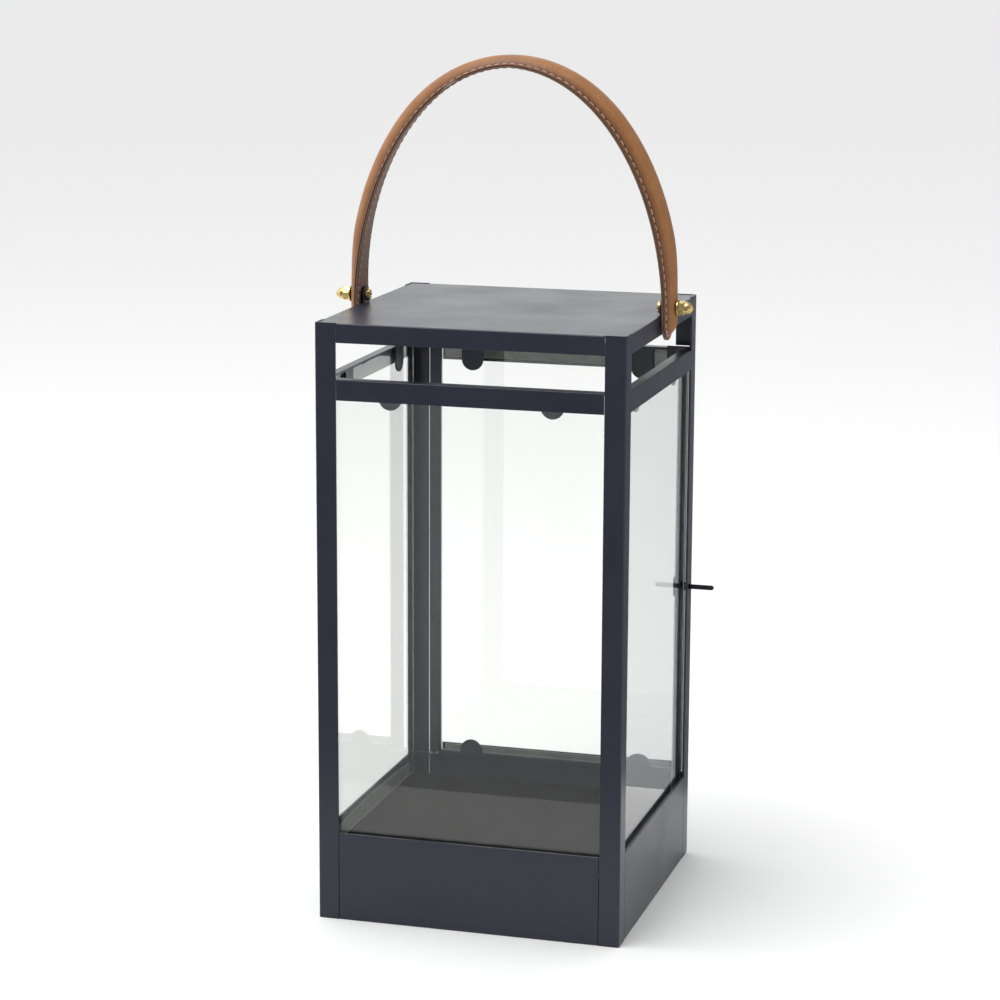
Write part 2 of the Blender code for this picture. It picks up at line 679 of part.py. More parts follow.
def make_pivots():
    shank = SHANK_DIAMETER / 2
    bore = shank + SHANK_CLEARANCE
    spacer = HALF_W + FACE_GAP
    washer = STRAP_OUT + FACE_GAP
    nut = washer + WASHER + FACE_GAP
    bore_end = NUT_LENGTH - NUT_WALL
    for name, side in (("right", 1), ("left", -1)):
        turn = Matrix.Rotation(math.radians(90 * side), 4, "Y")
        height = Matrix.Translation((0, 0, PIVOT_Z))

        def at(distance):
            return height @ turn @ Matrix.Translation((0, 0, distance))

        head_face = HALF_W - SHEET - FACE_GAP
        end = nut + bore_end - FACE_GAP
        head = SCREW_HEAD / 2
        profile = [(0, end), (shank, end), (shank, head_face), (head, head_face)]
        profile += [(head, head_face - SCREW_HEAD_HEIGHT), (0, head_face - SCREW_HEAD_HEIGHT)]
        screw = turned("pivot_screw_" + name, profile, at(0))
        slot_low, slot_high = sorted(
            (side * (head_face - 2 * SCREW_HEAD_HEIGHT), side * (head_face - SCREW_HEAD_HEIGHT / 2))
        )
        half_slot = SCREW_SLOT / 2
        low = (slot_low, -SCREW_HEAD, PIVOT_Z - half_slot)
        cut(screw, block("slot", low, (slot_high, SCREW_HEAD, PIVOT_Z + half_slot)))
        finish(screw, brass)

        outer = WASHER_DIAMETER / 2
        for kind, place, finish_material in (("spacer", spacer, dark_steel), ("outer", washer, brass)):
            ring = [(outer, WASHER), (outer, 0), (bore, 0), (bore, WASHER)]
            finish(turned(kind + "_washer_" + name, ring, at(place), closed=True), finish_material)

        dome = NUT_LENGTH - NUT_HEX
        neck = NUT_DOME / 2
        profile = [
            (neck * math.sin(a), NUT_HEX + dome * math.cos(a)) for a in (math.radians(15 * i) for i in range(7))
        ]
        profile += [(neck, NUT_HEX / 2), (0, NUT_HEX / 2)]
        cap = turned("cap_nut_" + name, profile, at(nut))
        corners = NUT_FLATS / math.sqrt(3)
        hexagon = rod("hexagon", corners, "Z", (0, 0, 0), 0, NUT_HEX, 6)
        hexagon.matrix_world = at(nut) @ hexagon.matrix_world
        join(cap, hexagon)
        thread = rod("thread", bore, "Z", (0, 0, 0), -WASHER, bore_end)
        thread.matrix_world = at(nut) @ thread.matrix_world
        cut(cap, thread)
        finish(cap, brass)


make_posts()
for wall in WALLS:
    make_base_panel(wall)
make_floor_plate()
for wall in ("front", "right", "left"):
    make_glass_rail(wall)
    make_pane(wall)
    make_tape(wall)
make_roof()
make_door(pivot("door_hinge_axis", (HINGE_X, HINGE_Y, 0)))
make_hinge_brackets()
make_door_stop()
make_bolt(pivot("bolt_axis", (HALF_W, BOLT_Y, BOLT_HEIGHT)))
make_handle(pivot("handle_axis", (0, 0, PIVOT_Z)))
make_pivots()
bpy.context.view_layer.update()
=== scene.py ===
import json
import math

import bmesh
import bpy
from mathutils import Matrix, Vector


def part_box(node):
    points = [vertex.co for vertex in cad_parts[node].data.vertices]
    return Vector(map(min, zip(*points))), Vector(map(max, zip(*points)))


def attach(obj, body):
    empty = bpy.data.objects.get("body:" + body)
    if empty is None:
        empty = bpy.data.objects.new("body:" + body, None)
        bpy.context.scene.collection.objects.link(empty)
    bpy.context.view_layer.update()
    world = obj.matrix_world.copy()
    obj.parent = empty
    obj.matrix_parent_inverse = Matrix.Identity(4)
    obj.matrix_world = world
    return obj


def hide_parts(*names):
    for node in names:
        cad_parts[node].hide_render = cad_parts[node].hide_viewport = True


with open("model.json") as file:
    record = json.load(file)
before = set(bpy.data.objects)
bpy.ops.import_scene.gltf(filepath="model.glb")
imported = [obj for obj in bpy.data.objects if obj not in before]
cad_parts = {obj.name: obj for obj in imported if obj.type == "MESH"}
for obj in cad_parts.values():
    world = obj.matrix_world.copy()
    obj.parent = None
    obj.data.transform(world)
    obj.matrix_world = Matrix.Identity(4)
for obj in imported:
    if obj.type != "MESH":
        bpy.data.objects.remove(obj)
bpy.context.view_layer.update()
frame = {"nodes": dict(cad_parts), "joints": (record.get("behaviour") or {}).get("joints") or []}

mm = 0.001
print("frame loaded,", len(frame["nodes"]), "nodes")


def makeActive(piece):
    bpy.ops.object.select_all(action="DESELECT")
    bpy.context.view_layer.objects.active = piece
    piece.select_set(True)


def applyAll(piece):
    makeActive(piece)
    for modifier in list(piece.modifiers):
        bpy.ops.object.modifier_apply(modifier=modifier.name)


def settle(piece):
    # leaves the object at the origin, unturned, with its place in its mesh
    makeActive(piece)
    bpy.ops.object.transform_apply(location=True, rotation=True, scale=True)


def editMesh(piece, *steps):
    # runs edit-mode operators, each given as (operator, settings)
    makeActive(piece)
    bpy.ops.object.mode_set(mode="EDIT")
    for operator, settings in steps:
        operator(**settings)
    bpy.ops.object.mode_set(mode="OBJECT")


def selectOnly(piece, edgeTest=None, faceTest=None):
    mesh = piece.data
    for part in (mesh.vertices, mesh.edges, mesh.polygons):
        part.foreach_set("select", [False] * len(part))
    spots = [vertex.co for vertex in mesh.vertices]
    if edgeTest:
        for edge in mesh.edges:
            edge.select = edgeTest(spots[edge.vertices[0]], spots[edge.vertices[1]])
    if faceTest:
        for face in mesh.polygons:
            face.select = faceTest(face)


def smoothPiece(piece, angle=40):
    makeActive(piece)
    bpy.ops.object.shade_smooth_by_angle(angle=math.radians(angle))


def evenNormals(piece):
    # big flat faces keep flat shading beside their small rounded edges
    weighted = piece.modifiers.new("evenNormals", "WEIGHTED_NORMAL")
    weighted.keep_sharp = True
    applyAll(piece)


def faceOutwards(piece):
    # a closed shell whose normals point in gets them flipped
    shell = bmesh.new()
    shell.from_mesh(piece.data)
    inward = shell.calc_volume(signed=True) < 0
    shell.free()
    if inward:
        editMesh(piece, (bpy.ops.mesh.select_all, {"action": "SELECT"}), (bpy.ops.mesh.flip_normals, {}))


def finishPiece(piece, body, materials, standsFor=()):
    piece.data.materials.clear()
    for material in materials if isinstance(materials, (list, tuple)) else [materials]:
        piece.data.materials.append(material)
    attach(piece, body)
    if standsFor:
        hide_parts(*standsFor)
    return piece


def linearColour(hexColour):
    channels = [int(hexColour[i:i + 2], 16) / 255 for i in (1, 3, 5)]
    return tuple(c / 12.92 if c <= 0.04045 else ((c + 0.055) / 1.055) ** 2.4 for c in channels) + (1,)


def addNode(tree, kind, settings=None, links=None):
    # settings: a socket or property and its value. links: an input and where it comes from
    made = tree.nodes.new("ShaderNode" + kind)
    for name, value in (settings or {}).items():
        if isinstance(name, int) or name in made.inputs:
            made.inputs[name].default_value = value
        else:
            setattr(made, name, value)
    for name, source in (links or {}).items():
        tree.links.new(source, made.inputs[name])
    return made


def rampBetween(tree, factor, stops):
    ramp = addNode(tree, "ValToRGB", links={"Fac": factor})
    elements = ramp.color_ramp.elements
    while len(elements) < len(stops):
        elements.new(0.5)
    for element, (place, colour) in zip(elements, stops):
        element.position = place
        element.color = linearColour(colour)
    return ramp.outputs["Color"]


def rangeOf(tree, source, fromLow, fromHigh, toLow, toHigh):
    made = addNode(tree, "MapRange", links={"Value": source})
    for name, value in (("From Min", fromLow), ("From Max", fromHigh), ("To Min", toLow), ("To Max", toHigh)):
        made.inputs[name].default_value = value
    return made.outputs["Result"]


def noiseOf(tree, place, grain, detail=3.0, roughness=0.5):
    # grain is the size of one patch in metres
    settings = {"Scale": 1 / grain, "Detail": detail, "Roughness": roughness}
    return addNode(tree, "TexNoise", settings, {"Vector": place}).outputs["Fac"]


def startMaterial(name, settings):
    material = bpy.data.materials.new(name)
    material.use_nodes = True
    tree = material.node_tree
    shader = tree.nodes["Principled BSDF"]
    for socket, value in settings.items():
        shader.inputs[socket].default_value = value
    place = addNode(tree, "TexCoord").outputs["Object"]
    return material, tree, shader, place


def bumpFrom(tree, shader, height, depth, strength=1.0, under=None):
    links = {"Height": height}
    if under:
        links["Normal"] = under
    bump = addNode(tree, "Bump", {"Strength": strength, "Distance": depth}, links)
    tree.links.new(bump.outputs["Normal"], shader.inputs["Normal"])
    return bump.outputs["Normal"]


def makePowderCoat():
    # polyester powder coat over mild steel: a satin navy black with faint orange peel and a little dust
    look = {"light": "#292d3b", "dark": "#252935", "peel": 1.6 * mm, "cloud": 38 * mm, "grit": 0.35 * mm}
    settings = {"IOR": 1.5, "Specular IOR Level": 0.38}
    material, tree, shader, place = startMaterial("powder-coated steel", settings)
    cloud = noiseOf(tree, place, look["cloud"], 4)
    colour = rampBetween(tree, cloud, [(0.3, look["dark"]), (0.7, look["light"])])
    tree.links.new(colour, shader.inputs["Base Color"])
    peel = noiseOf(tree, place, look["peel"], 2)
    grit = noiseOf(tree, place, look["grit"], 1)
    tree.links.new(rangeOf(tree, cloud, 0.3, 0.7, 0.27, 0.35), shader.inputs["Roughness"])
    first = bumpFrom(tree, shader, peel, 0.02 * mm, 0.5)
    bumpFrom(tree, shader, grit, 0.006 * mm, 0.35, first)
    return material


def makeFloorCoat():
    # matt heat-resistant enamel: brown black, dry, with fine grit and rubbed patches where candles slide
    look = {"light": "#1a1817", "dark": "#100f0e", "patch": 26 * mm, "grit": 0.5 * mm}
    settings = {"IOR": 1.5, "Specular IOR Level": 0.04}
    material, tree, shader, place = startMaterial("matt stove enamel", settings)
    patch = noiseOf(tree, place, look["patch"], 5, 0.6)
    colour = rampBetween(tree, patch, [(0.35, look["dark"]), (0.68, look["light"])])
    tree.links.new(colour, shader.inputs["Base Color"])
    tree.links.new(rangeOf(tree, patch, 0.3, 0.7, 0.62, 0.85), shader.inputs["Roughness"])
    bumpFrom(tree, shader, noiseOf(tree, place, look["grit"], 3), 0.02 * mm, 0.6)
    return material


def makeGlass(name, tint, roughness):
    # float glass: clear with a faint green from its iron. Lamps shine through it
    settings = {
        "Base Color": linearColour(tint), "IOR": 1.5, "Transmission Weight": 1.0, "Roughness": roughness,
    }
    material, tree, shader, place = startMaterial(name, settings)
    output = tree.nodes["Material Output"]
    path = addNode(tree, "LightPath")
    clear = addNode(tree, "BsdfTransparent", {"Color": linearColour("#f2f7f4")})
    mix = addNode(tree, "MixShader")
    tree.links.new(path.outputs["Is Shadow Ray"], mix.inputs[0])
    tree.links.new(shader.outputs[0], mix.inputs[1])
    tree.links.new(clear.outputs[0], mix.inputs[2])
    tree.links.new(mix.outputs[0], output.inputs["Surface"])
    bumpFrom(tree, shader, noiseOf(tree, place, 60 * mm, 1), 0.02 * mm, 0.1)
    return material


def makeFoamTape():
    # closed-cell polyethylene foam tape: pale grey green, with small pores and a dusty skin
    material, tree, shader, place = startMaterial("closed-cell foam tape", {"IOR": 1.45, "Roughness": 0.85})
    tone = noiseOf(tree, place, 7 * mm, 4)
    tree.links.new(rampBetween(tree, tone, [(0.3, "#6e786f"), (0.7, "#8e988c")]), shader.inputs["Base Color"])
    cells = addNode(tree, "TexVoronoi", {"Scale": 1 / (0.6 * mm)}, {"Vector": place}).outputs["Distance"]
    bumpFrom(tree, shader, cells, 0.08 * mm, 0.7)
    return material


def makeStrapLeather():
    # vegetable-tanned leather over a soft core: waxed tan, pebbled grain, with painted shade on the margins
    # along its edges and in the stitch groove
    look = {"crown": "#a87647", "mid": "#946138", "edgeShade": "#6e4526", "seam": "#4c2f1b", "pebble": 1.0 * mm}
    settings = {"IOR": 1.46, "Sheen Weight": 0.08, "Sheen Roughness": 0.4}
    material, tree, shader, place = startMaterial("vegetable-tanned leather", settings)
    patch = noiseOf(tree, place, 14 * mm, 5, 0.6)
    grainTone = noiseOf(tree, place, 1.8 * mm, 3)
    body = rampBetween(tree, patch, [(0.28, look["mid"]), (0.72, look["crown"])])
    speckle = addNode(tree, "Mix", {"data_type": "RGBA", "blend_type": "MULTIPLY", 0: 0.35}, {6: body})
    tree.links.new(rampBetween(tree, grainTone, [(0.3, "#c9b6a4"), (0.7, "#ffffff")]), speckle.inputs[7])
    # painted shade: within 2.2 to 5 mm of the edges, where the cover rounds over, the colour goes to the dark
    # edge brown
    across = addNode(tree, "Attribute", {"attribute_name": "edgeDistance"}).outputs["Fac"]
    edgeShadeAmount = rangeOf(tree, across, 2.2, 5.0, 1.0, 0.0)
    edgeShadeMix = addNode(tree, "Mix", {"data_type": "RGBA"}, {0: edgeShadeAmount, 6: speckle.outputs[2]})
    edgeShadeMix.inputs[7].default_value = linearColour(look["edgeShade"])
    # painted shade: in the stitch groove, strongest at the needle holes, the colour goes to the dark seam
    # brown
    grooveShade = addNode(tree, "Attribute", {"attribute_name": "grooveShade"}).outputs["Fac"]
    grooveShadeMix = addNode(tree, "Mix", {"data_type": "RGBA"}, {0: grooveShade, 6: edgeShadeMix.outputs[2]})
    grooveShadeMix.inputs[7].default_value = linearColour(look["seam"])
    tree.links.new(grooveShadeMix.outputs[2], shader.inputs["Base Color"])
    tree.links.new(rangeOf(tree, grainTone, 0.3, 0.7, 0.4, 0.56), shader.inputs["Roughness"])
    settings = {"feature": "SMOOTH_F1", "Scale": 1 / look["pebble"]}
    pebble = addNode(tree, "TexVoronoi", settings, {"Vector": place})
    first = bumpFrom(tree, shader, pebble.outputs["Distance"], 0.1 * mm, 0.4)
    bumpFrom(tree, shader, noiseOf(tree, place, 5 * mm, 5, 0.65), 0.3 * mm, 0.35, first)
    return material


def makeLiningLeather():
    # split leather: the fibrous flesh side, dull, with a brushed nap and burnished grey-brown edges
    material, tree, shader, place = startMaterial("split leather", {"IOR": 1.46, "Sheen Weight": 0.15})
    tone = noiseOf(tree, place, 9 * mm, 5, 0.65)
    face = rampBetween(tree, tone, [(0.3, "#6f4c33"), (0.7, "#8a6244")])
    across = addNode(tree, "Attribute", {"attribute_name": "edgeDistance"}).outputs["Fac"]
    nearEdge = rangeOf(tree, across, 0.2, 0.9, 1.0, 0.0)
    edge = addNode(tree, "Mix", {"data_type": "RGBA"}, {0: nearEdge, 6: face})
    edge.inputs[7].default_value = linearColour("#6a564b")
    tree.links.new(edge.outputs[2], shader.inputs["Base Color"])
    tree.links.new(rangeOf(tree, tone, 0.3, 0.7, 0.62, 0.8), shader.inputs["Roughness"])
    nap = noiseOf(tree, place, 0.5 * mm, 4, 0.7)
    bumpFrom(tree, shader, nap, 0.1 * mm, 0.5)
    return material


def makeThread():
    # waxed polyester thread: cream, three strands twisted, a soft shine
    material, tree, shader, place = startMaterial("waxed polyester thread", {"IOR": 1.5, "Roughness": 0.5})
    tone = noiseOf(tree, place, 3 * mm, 3)
    tree.links.new(rampBetween(tree, tone, [(0.3, "#b3927e"), (0.7, "#d3b9a7")]), shader.inputs["Base Color"])
    settings = {"Scale": 1 / (3.2 * mm), "Distortion": 1.5, "bands_direction": "DIAGONAL"}
    twist = addNode(tree, "TexWave", settings, {"Vector": place})
    bumpFrom(tree, shader, twist.outputs["Fac"], 0.1 * mm, 0.6)
    return material


def makeBrass():
    # free-machining brass: turned, lightly polished, with fine tool lines and faint tarnish
    material, tree, shader, place = startMaterial("brass", {"Metallic": 1.0})
    tarnish = noiseOf(tree, place, 2.5 * mm, 4)
    colour = rampBetween(tree, tarnish, [(0.3, "#bd9c56"), (0.62, "#e8d193")])
    tree.links.new(colour, shader.inputs["Base Color"])
    tree.links.new(rangeOf(tree, tarnish, 0.3, 0.7, 0.3, 0.17), shader.inputs["Roughness"])
    settings = {"Scale": 1 / (1.6 * mm), "Distortion": 0.6, "bands_direction": "X"}
    lines = addNode(tree, "TexWave", settings, {"Vector": place})
    bumpFrom(tree, shader, lines.outputs["Fac"], 0.01 * mm, 0.3)
    return material


def makeBlackSteel():
    # blackened steel rod and washers: oiled black oxide, faintly brushed
    material, tree, shader, place = startMaterial("black-oxide steel", {"Metallic": 0.85})
    tone = noiseOf(tree, place, 3 * mm, 4)
    tree.links.new(rampBetween(tree, tone, [(0.3, "#232228"), (0.7, "#3a3942")]), shader.inputs["Base Color"])
    tree.links.new(rangeOf(tree, tone, 0.3, 0.7, 0.28, 0.45), shader.inputs["Roughness"])
    bumpFrom(tree, shader, noiseOf(tree, place, 0.4 * mm, 2), 0.01 * mm, 0.5)
    return material


powderCoat = makePowderCoat()
floorCoat = makeFloorCoat()
paneGlass = makeGlass("float glass", "#fbfcfb", 0.0)
paneEdge = makeGlass("ground float glass edge", "#a9c9bd", 0.35)
foamTape = makeFoamTape()
strapLeather = makeStrapLeather()
liningLeather = makeLiningLeather()
seamThread = makeThread()
brassMetal = makeBrass()
blackSteel = makeBlackSteel()
print("materials made")


# each CAD sheet gets broken edges, and the posts, base panels, glass rails and roof cap also get rounded
# folds
def workCopy(nodeName, newName):
    mesh = frame["nodes"][nodeName].data.copy()
    piece = bpy.data.objects.new(newName, mesh)
    bpy.context.scene.collection.objects.link(piece)
    makeActive(piece)
    if mesh.has_custom_normals:
        bpy.ops.mesh.customdata_custom_splitnormals_clear()
    editMesh(
        piece,
        (bpy.ops.mesh.select_all, {"action": "SELECT"}),
        (bpy.ops.mesh.remove_doubles, {"threshold": 0.001 * mm}),
        (bpy.ops.mesh.dissolve_limited, {"angle_limit": math.radians(0.5)}),
    )
    return piece


def breakEdges(piece, width, segments=2):
    bevel = piece.modifiers.new("brokenEdges", "BEVEL")
    bevel.width = width
    bevel.segments = segments
    bevel.limit_method = "ANGLE"
    bevel.angle_limit = math.radians(50)
    bevel.use_clamp_overlap = False
    applyAll(piece)
    smoothPiece(piece, 60)
    evenNormals(piece)


def roundFold(piece, radius, isFold):
    selectOnly(piece, edgeTest=isFold)
    settings = {"offset": radius, "segments": 4, "affect": "EDGES", "clamp_overlap": False}
    editMesh(piece, (bpy.ops.mesh.bevel, settings))


sheetMetal = {
    "foldOuter": 0.9 * mm, "brokenEdge": 0.16 * mm, "plateEdge": 0.4 * mm, "near": 0.05 * mm,
    "postProud": 0.3 * mm, "earEdge": 10 * mm,
}
halfW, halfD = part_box("roof_cap")[1].xy
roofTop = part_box("post_front_left")[1].z - sheetMetal["postProud"]


def atValue(a, b, axis, value):
    near = sheetMetal["near"]
    return abs(a[axis] - value) < near and abs(b[axis] - value) < near


for nodeName in ("post_front_left", "post_front_right", "post_rear_left", "post_rear_right"):
    signX = 1 if nodeName.endswith("right") else -1
    signY = 1 if "rear" in nodeName else -1

    def isCorner(a, b):
        return atValue(a, b, 0, signX * halfW) and atValue(a, b, 1, signY * halfD)

    post = workCopy(nodeName, nodeName.replace("post", "cornerPost"))
    roundFold(post, sheetMetal["foldOuter"], isCorner)
    breakEdges(post, sheetMetal["brokenEdge"])
    finishPiece(post, "lantern", powderCoat, [nodeName])

for wall, axis, side in (("front", 1, -1), ("rear", 1, 1), ("left", 0, -1), ("right", 0, 1)):
    outer = side * (halfD if axis == 1 else halfW)

    def isRim(a, b):
        return atValue(a, b, axis, outer) and atValue(a, b, 2, 0)

    panel = workCopy("base_panel_" + wall, "basePanel_" + wall)
    roundFold(panel, sheetMetal["foldOuter"], isRim)
    breakEdges(panel, sheetMetal["brokenEdge"])
    finishPiece(panel, "lantern", powderCoat, ["base_panel_" + wall])
    if wall == "rear":
        continue
    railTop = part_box("glass_rail_" + wall)[1].z

    def isRailFold(a, b):
        return atValue(a, b, axis, outer) and atValue(a, b, 2, railTop)

    rail = workCopy("glass_rail_" + wall, "glassRail_" + wall)
    roundFold(rail, sheetMetal["foldOuter"], isRailFold)
    breakEdges(rail, sheetMetal["brokenEdge"])
    finishPiece(rail, "lantern", powderCoat, ["glass_rail_" + wall])

for nodeName, body in (
    ("roof_cap", "lantern"), ("door_top_rail", "door"), ("door_bottom_rail", "door"),
    ("door_hinge_stile", "door"), ("door_latch_stile", "door"), ("latch_keeper", "door"),
    ("hinge_bracket_top", "lantern"), ("hinge_bracket_bottom", "lantern"), ("door_stop", "lantern"),
):
    sheet = workCopy(nodeName, nodeName + "_sheet")
    if nodeName == "roof_cap":
        def isRoofFold(a, b):
            onSide = atValue(a, b, 0, halfW) or atValue(a, b, 0, -halfW)
            onEnd = atValue(a, b, 1, halfD) or atValue(a, b, 1, -halfD)
            return (onSide or onEnd) and atValue(a, b, 2, roofTop) and (a - b).length > sheetMetal["earEdge"]

        roundFold(sheet, sheetMetal["foldOuter"], isRoofFold)
    breakEdges(sheet, sheetMetal["brokenEdge"])
    finishPiece(sheet, body, powderCoat, [nodeName])

floorPlate = workCopy("floor_plate", "floorPlate_sheet")
breakEdges(floorPlate, sheetMetal["plateEdge"], 3)  # the pressed plate has softer edges
finishPiece(floorPlate, "lantern", floorCoat, ["floor_plate"])
print("sheet metal made")


glazing = {"arris": 0.25 * mm, "faceArea": 0.01}

for nodeName, body in (
    ("glass_front", "lantern"), ("glass_left", "lantern"), ("glass_right", "lantern"), ("door_glass", "door"),
):
    pane = workCopy(nodeName, nodeName + "_pane")
    breakEdges(pane, glazing["arris"], 1)
    finishPiece(pane, body, [paneGlass, paneEdge], [nodeName])
    for face in pane.data.polygons:
        face.material_index = 0 if face.area > glazing["faceArea"] else 1

tapeShape = {"cuts": 22, "ragged": 0.12 * mm, "edge": 0.1 * mm}


def makeTape(nodeName, body, bow):
    low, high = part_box(nodeName)
    size = high - low
    alongAxis = 0 if size.x > size.y else 1
    bpy.ops.object.select_all(action="DESELECT")
    bpy.ops.mesh.primitive_cube_add(size=1, location=(low + high) / 2)
    tape = bpy.context.active_object
    tape.name = nodeName + "_strip"
    tape.scale = size
    settle(tape)
    editMesh(
        tape,
        (bpy.ops.mesh.select_all, {"action": "SELECT"}),
        (bpy.ops.mesh.subdivide, {"number_cuts": tapeShape["cuts"]}),
    )
    middle = (low + high) / 2
    half = size[alongAxis] / 2
    for vertex in tape.data.vertices:
        along = (vertex.co[alongAxis] - middle[alongAxis]) / half
        up = (vertex.co.z - low.z) / size.z
        wander = math.sin(along * 31) + math.sin(along * 53 + 1.3)
        vertex.co.z -= up * (bow * along * along + tapeShape["ragged"] * (2 + wander) / 2)
    breakEdges(tape, tapeShape["edge"], 1)
    finishPiece(tape, body, foamTape, [nodeName])


# how far each strip's top edge bows; the left one was laid loosely
for nodeName, body, bow in (
    ("glass_tape_front", "lantern", 0.4 * mm), ("glass_tape_left", "lantern", 2.4 * mm),
    ("glass_tape_right", "lantern", 0.5 * mm), ("door_top_tape", "door", 0.1 * mm),
    ("door_bottom_tape", "door", 0.05 * mm),
):
    makeTape(nodeName, body, bow)
print("glass made")


def turnPiece(name, profile, steps, closed=False):
    # a profile of (radius, distance) turned about X
    mesh = bpy.data.meshes.new(name)
    edges = [(i, i + 1) for i in range(len(profile) - 1)] + ([(len(profile) - 1, 0)] if closed else [])
    mesh.from_pydata([(distance, 0, radius) for radius, distance in profile], edges, [])
    piece = bpy.data.objects.new(name, mesh)
    bpy.context.scene.collection.objects.link(piece)
    spinning = {"steps": steps, "angle": math.tau, "center": (0, 0, 0), "axis": (1, 0, 0)}
    editMesh(
        piece,
        (bpy.ops.mesh.select_all, {"action": "SELECT"}),
        (bpy.ops.mesh.spin, spinning),
        (bpy.ops.mesh.select_all, {"action": "SELECT"}),
        (bpy.ops.mesh.remove_doubles, {"threshold": 0.002 * mm}),
        (bpy.ops.mesh.normals_make_consistent, {"inside": False}),
    )
    return piece


def roundedStep(radius, distance, fillet, outward, points=4):
    # a rounded corner of a profile; outward is +1 at the far end and -1 at the near end
    centre = radius - fillet
    turns = [math.pi / 2 * i / points for i in range(points + 1)]
    corner = [(centre + fillet * math.sin(t), distance - outward * fillet * (1 - math.cos(t))) for t in turns]
    return corner if outward > 0 else corner[::-1]


def joinShape(piece, other, operation):
    boolean = piece.modifiers.new("shape", "BOOLEAN")
    boolean.operation = operation
    boolean.object = other
    applyAll(piece)
    bpy.data.objects.remove(other, do_unlink=True)


def addBlock(low, high):
    bpy.ops.object.select_all(action="DESELECT")
    bpy.ops.mesh.primitive_cube_add(size=1, location=(Vector(low) + Vector(high)) / 2)
    block = bpy.context.active_object
    block.scale = Vector(high) - Vector(low)
    settle(block)
    return block


def placeOnPivot(piece, side, pivotZ, turn=0.0):
    piece.matrix_world = (
        Matrix.Translation((0, 0, pivotZ))
        @ Matrix.Rotation(0 if side > 0 else math.pi, 4, "Z")
        @ Matrix.Rotation(turn, 4, "X")
    )
    settle(piece)


swing = next(joint for joint in frame["joints"] if joint["name"] == "handle_swing")
pivotZ = swing["pos_m"][2]
fastener = {
    "hexHeight": 3.2 * mm, "neck": 0.93, "shoulder": 0.5 * mm, "bore": 2.2 * mm, "domeWall": 1.7 * mm,
    "capTurn": 12, "capEdge": 0.08 * mm, "headHeight": 1.8 * mm, "headRound": 0.7 * mm, "shank": 2.0 * mm,
    "threads": 14, "threadPitch": 0.7 * mm, "threadDepth": 0.2 * mm, "slotWidth": 0.9 * mm,
    "slotDepth": 0.9 * mm, "slotTurn": 25, "boltRoom": 0.3 * mm, "pinEdge": 0.12 * mm,
}


